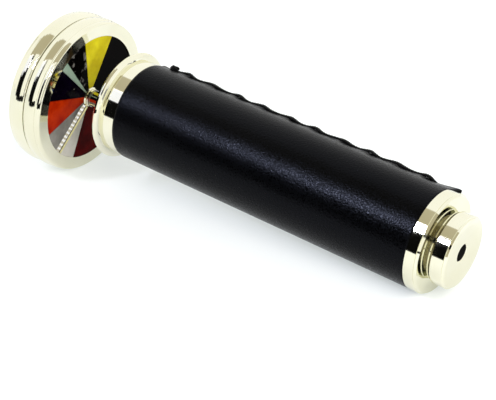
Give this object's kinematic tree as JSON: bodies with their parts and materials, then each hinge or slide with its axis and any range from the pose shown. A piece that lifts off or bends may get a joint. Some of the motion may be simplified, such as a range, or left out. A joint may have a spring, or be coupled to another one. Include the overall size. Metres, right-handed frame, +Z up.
{
  "type": "wheel kaleidoscope",
  "caption": "Leather covered kaleidoscope barrel with a turned eyepiece, mirrors inside and coloured glass wheels that spin on an axle in front of its window.",
  "frame": {"origin": "bottom centre of the bounding box, on the table that the part lies on", "axes": "+Z up from the table; +X along the part towards the eyepiece, in the upright plane of the barrel's axis; the barrel's axis climbs by 5.6 degrees from the eyepiece towards the wheels"},
  "size_m": [0.1632, 0.0524, 0.0529],
  "materials": {
    "nickel": "polished nickel plate, warm",
    "plate_black": "black enamel",
    "barrel_brass": "drawn brass",
    "black_leather": "fine grained, semi gloss",
    "lacing": "thin waxed lace",
    "mirror_glass": "silvered glass",
    "clear_glass": "clear polished glass",
    "ring_card": "pressed card",
    "gasket_rubber": "black rubber",
    "washer_steel": "plain steel",
    "solder": "bright solder",
    "yellow_glass": "stained glass",
    "black_glass": "stained glass",
    "blue_glass": "stained glass",
    "maroon_glass": "stained glass",
    "pane_clear_glass": "textured clear glass",
    "red_glass": "stained glass",
    "navy_glass": "stained glass",
    "green_glass": "stained glass",
    "smoke_glass": "stained glass",
    "pearl_glass": "milky stained glass",
    "amber_glass": "stained glass",
    "teal_glass": "stained glass",
    "rose_glass": "stained glass",
    "violet_glass": "stained glass",
    "lime_glass": "stained glass",
    "orange_glass": "stained glass"
  },
  "bodies": {
    "scope": {"eyepiece_flange": "nickel", "eyepiece_knob": "nickel", "eye_lens": "clear_glass", "lens_ring": "nickel", "barrel_tube": "barrel_brass", "leather_sleeve": "black_leather", "seam_lacing": "lacing", "mirror_top": "mirror_glass", "mirror_front": "mirror_glass", "mirror_back": "mirror_glass", "mirror_ring_eye": "ring_card", "mirror_ring_wheel": "ring_card", "front_collar": "nickel", "window_gasket": "gasket_rubber", "front_window": "clear_glass", "front_plate": "plate_black", "axle": "nickel", "near_washer": "washer_steel", "middle_washer": "washer_steel", "far_washer": "washer_steel", "spring_washer": "washer_steel", "cap_nut": "nickel"},
    "near_wheel": {"near_rim": "nickel", "near_hub": "nickel", "near_hub_ring": "nickel", "near_pane_ring": "nickel", "near_solder_bar": "solder", "near_pane_yellow": "yellow_glass", "near_pane_black": "black_glass", "near_pane_blue": "blue_glass", "near_pane_maroon": "maroon_glass", "near_pane_clear": "pane_clear_glass", "near_pane_red": "red_glass", "near_pane_navy": "navy_glass", "near_pane_green": "green_glass", "near_pane_smoke": "smoke_glass", "near_pane_pearl": "pearl_glass"},
    "far_wheel": {"far_rim": "nickel", "far_hub": "nickel", "far_hub_ring": "nickel", "far_pane_ring": "nickel", "far_pane_amber": "amber_glass", "far_pane_teal": "teal_glass", "far_pane_rose": "rose_glass", "far_pane_clear": "pane_clear_glass", "far_pane_violet": "violet_glass", "far_pane_lime": "lime_glass", "far_pane_orange": "orange_glass", "far_pane_blue": "blue_glass"}
  },
  "joints": [
    {"name": "near_wheel_spin", "type": "hinge", "parent": "scope", "child": "near_wheel", "pos_m": [-0.06534, 0, 0.02609], "axis": [-0.9953, 0, 0.0973], "continuous": true},
    {"name": "far_wheel_spin", "type": "hinge", "parent": "scope", "child": "far_wheel", "pos_m": [-0.07231, 0, 0.02678], "axis": [-0.9953, 0, 0.0973], "continuous": true}
  ]
}
